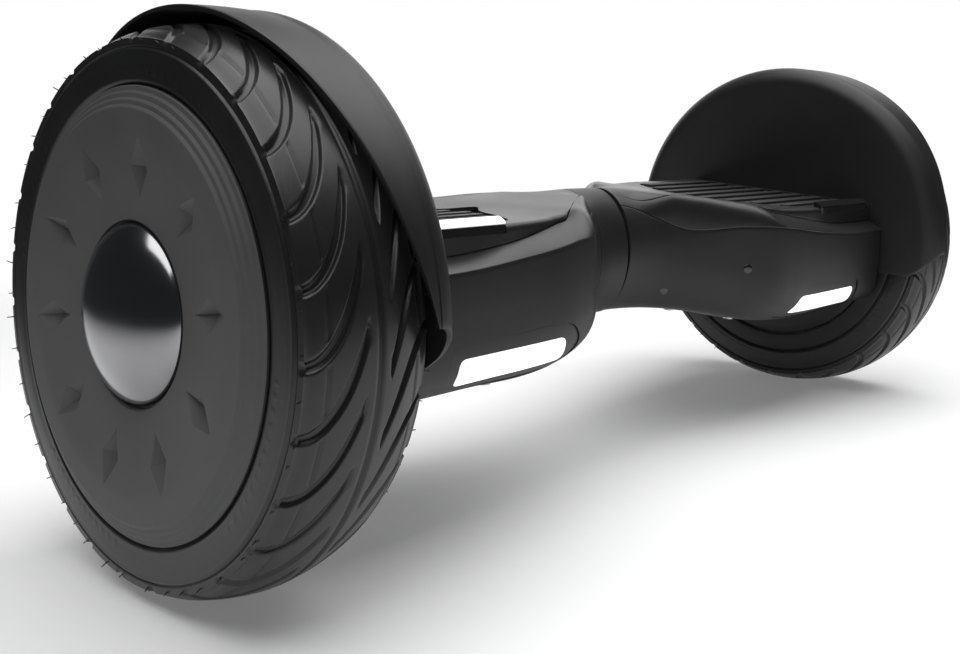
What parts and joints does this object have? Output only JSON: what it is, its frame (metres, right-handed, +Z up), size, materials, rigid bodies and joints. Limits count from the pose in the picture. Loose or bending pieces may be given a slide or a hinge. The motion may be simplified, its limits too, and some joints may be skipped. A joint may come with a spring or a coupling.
{
  "type": "self balancing hoverboard",
  "caption": "Self balancing board with two large pneumatic hub motor wheels, half-round fenders, ribbed foot pads and two halves that twist about a slim waist.",
  "frame": {"origin": "on the floor, midway between the two wheels", "axes": "+X along the axle towards the right wheel, -Y towards the headlights, +Z up"},
  "size_m": [0.67, 0.27, 0.262],
  "materials": {
    "satin_black": "satin moulded",
    "gloss_black": "polished",
    "trim_grey": "semi-gloss",
    "tyre_rubber": "matte rubber",
    "pad_rubber": "matte rubber",
    "cover_grey": "fine matte powder coat",
    "dark_chrome": "smoked chrome",
    "lamp_white": "milky diffuser",
    "lamp_red": "tinted lens",
    "cast_aluminium": "as cast",
    "steel": "machined",
    "winding_copper": "enamelled windings on laminated steel",
    "bronze": "sintered",
    "circuit_board": "solder mask",
    "battery_wrap": "heat-shrink wrap"
  },
  "bodies": {
    "left_half": {"left_lower_shell": "satin_black", "left_trim_band": "trim_grey", "left_deck_cover": "satin_black", "left_headlight_bezel": "gloss_black", "left_headlight_lens": "lamp_white", "left_tail_light_lens": "lamp_red", "left_fender": "satin_black", "left_pad_light_strip": "lamp_white", "left_chassis": "cast_aluminium", "left_axle": "steel", "left_stator": "winding_copper", "left_axle_clamp": "cast_aluminium", "left_motor_cable": "pad_rubber", "left_gyro_board": "circuit_board", "battery_pack": "battery_wrap", "battery_strap": "cast_aluminium", "waist_collar": "satin_black", "pivot_shaft": "steel", "pivot_retaining_ring": "steel"},
    "right_half": {"right_lower_shell": "satin_black", "right_trim_band": "trim_grey", "right_deck_cover": "satin_black", "right_headlight_bezel": "gloss_black", "right_headlight_lens": "lamp_white", "right_tail_light_lens": "lamp_red", "right_fender": "satin_black", "right_pad_light_strip": "lamp_white", "right_chassis": "cast_aluminium", "right_axle": "steel", "right_stator": "winding_copper", "right_axle_clamp": "cast_aluminium", "right_motor_cable": "pad_rubber", "right_gyro_board": "circuit_board", "pivot_bush_inner": "bronze", "pivot_bush_outer": "bronze", "service_panel": "gloss_black", "charge_socket": "steel", "main_board": "circuit_board"},
    "left_wheel": {"left_tyre": "tyre_rubber", "left_rim": "cast_aluminium", "left_magnet_ring": "steel", "left_hub_cover": "cover_grey", "left_hub_cap": "dark_chrome", "left_motor_cover": "cast_aluminium", "left_outer_bearing": "steel", "left_inner_bearing": "steel"},
    "right_wheel": {"right_tyre": "tyre_rubber", "right_rim": "cast_aluminium", "right_magnet_ring": "steel", "right_hub_cover": "cover_grey", "right_hub_cap": "dark_chrome", "right_motor_cover": "cast_aluminium", "right_outer_bearing": "steel", "right_inner_bearing": "steel"},
    "left_pad": {"left_foot_pad": "pad_rubber"},
    "right_pad": {"right_foot_pad": "pad_rubber"},
    "button": {"power_button": "steel"},
    "socket_flap": {"charge_cover": "pad_rubber"}
  },
  "joints": [
    {"name": "waist_twist", "type": "hinge", "parent": "left_half", "child": "right_half", "pos_m": [0, 0, 0.127], "axis": [1, 0, 0], "range_deg": [-20.5, 9.5]},
    {"name": "left_wheel_spin", "type": "hinge", "parent": "left_half", "child": "left_wheel", "pos_m": [-0.29, 0, 0.127], "axis": [1, 0, 0], "continuous": true},
    {"name": "right_wheel_spin", "type": "hinge", "parent": "right_half", "child": "right_wheel", "pos_m": [0.29, 0, 0.127], "axis": [1, 0, 0], "continuous": true},
    {"name": "left_pad_press", "type": "slide", "parent": "left_half", "child": "left_pad", "axis": [0, 0, -1], "range_m": [0, 0.002], "stiffness_N_per_m": 8000, "springref_m": -0.0006},
    {"name": "right_pad_press", "type": "slide", "parent": "right_half", "child": "right_pad", "axis": [0, 0.0958, -0.9954], "range_m": [0, 0.002], "stiffness_N_per_m": 8000, "springref_m": -0.0006},
    {"name": "power_button_press", "type": "slide", "parent": "right_half", "child": "button", "axis": [0, -0.9954, -0.0958], "range_m": [0, 0.0015], "stiffness_N_per_m": 400, "springref_m": -0.0008},
    {"name": "socket_cover_flap", "type": "hinge", "parent": "right_half", "child": "socket_flap", "pos_m": [0.184, 0.0919, 0.1442], "axis": [1, 0, 0], "range_deg": [0, 110]}
  ]
}
